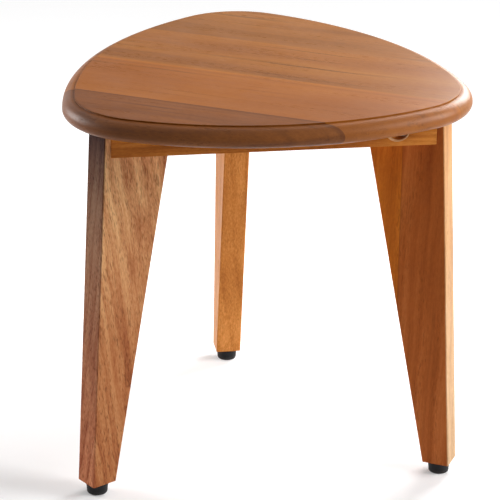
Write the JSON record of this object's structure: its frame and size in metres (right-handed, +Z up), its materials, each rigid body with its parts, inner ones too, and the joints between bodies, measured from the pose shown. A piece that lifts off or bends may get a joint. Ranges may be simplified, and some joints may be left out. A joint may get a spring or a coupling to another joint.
{
  "type": "shower foot stool",
  "caption": "Low three-legged hardwood foot stool with a rounded-triangle seat, tapering radial legs, mitred rails and rubber screw feet.",
  "frame": {"origin": "on the floor, under the middle of the stool's width and depth", "axes": "+Z up, +Y towards the rear leg, +X to the right along the front rail"},
  "size_m": [0.2972, 0.2941, 0.3],
  "materials": {
    "seat_wood": "oiled hardwood, satin",
    "leg_wood": "oiled hardwood, satin",
    "apron_wood": "oiled hardwood, satin",
    "bolt_steel": "zinc plated",
    "screw_steel": "stainless",
    "stud_steel": "zinc plated",
    "insert_brass": "turned",
    "foot_rubber": "matt black"
  },
  "bodies": {
    "stool": {"seat_stave_front": "seat_wood", "seat_stave_front_middle": "seat_wood", "seat_stave_rear_middle": "seat_wood", "seat_stave_rear": "seat_wood", "apron_front": "apron_wood", "apron_right": "apron_wood", "apron_left": "apron_wood", "leg_left": "leg_wood", "leg_right": "leg_wood", "leg_rear": "leg_wood", "leg_bolts": "bolt_steel", "leg_bolt_inserts": "insert_brass", "seat_screws": "screw_steel", "foot_inserts": "insert_brass"},
    "foot_stud_left": {"foot_stud_left": "stud_steel"},
    "foot_pad_left": {"foot_pad_left": "foot_rubber"},
    "foot_stud_right": {"foot_stud_right": "stud_steel"},
    "foot_pad_right": {"foot_pad_right": "foot_rubber"},
    "foot_stud_rear": {"foot_stud_rear": "stud_steel"},
    "foot_pad_rear": {"foot_pad_rear": "foot_rubber"}
  },
  "joints": [
    {"name": "foot_height_left", "type": "slide", "parent": "stool", "child": "foot_stud_left", "axis": [0, 0, -1], "range_m": [0, 0.006]},
    {"name": "foot_screw_left", "type": "hinge", "parent": "foot_stud_left", "child": "foot_pad_left", "pos_m": [-0.13012, -0.08937, 0.0046], "axis": [0, 0, -1], "range_deg": [0, 2160]},
    {"name": "foot_height_right", "type": "slide", "parent": "stool", "child": "foot_stud_right", "axis": [0, 0, -1], "range_m": [0, 0.006]},
    {"name": "foot_screw_right", "type": "hinge", "parent": "foot_stud_right", "child": "foot_pad_right", "pos_m": [0.13012, -0.08937, 0.0046], "axis": [0, 0, -1], "range_deg": [0, 2160]},
    {"name": "foot_height_rear", "type": "slide", "parent": "stool", "child": "foot_stud_rear", "axis": [0, 0, -1], "range_m": [0, 0.006]},
    {"name": "foot_screw_rear", "type": "hinge", "parent": "foot_stud_rear", "child": "foot_pad_rear", "pos_m": [0, 0.13601, 0.0046], "axis": [0, 0, -1], "range_deg": [0, 2160]}
  ],
  "couplings": [
    {"joint": "foot_screw_left", "follows": "foot_height_left", "rad_per_m": 6283.1},
    {"joint": "foot_screw_right", "follows": "foot_height_right", "rad_per_m": 6283.1},
    {"joint": "foot_screw_rear", "follows": "foot_height_rear", "rad_per_m": 6283.1}
  ]
}
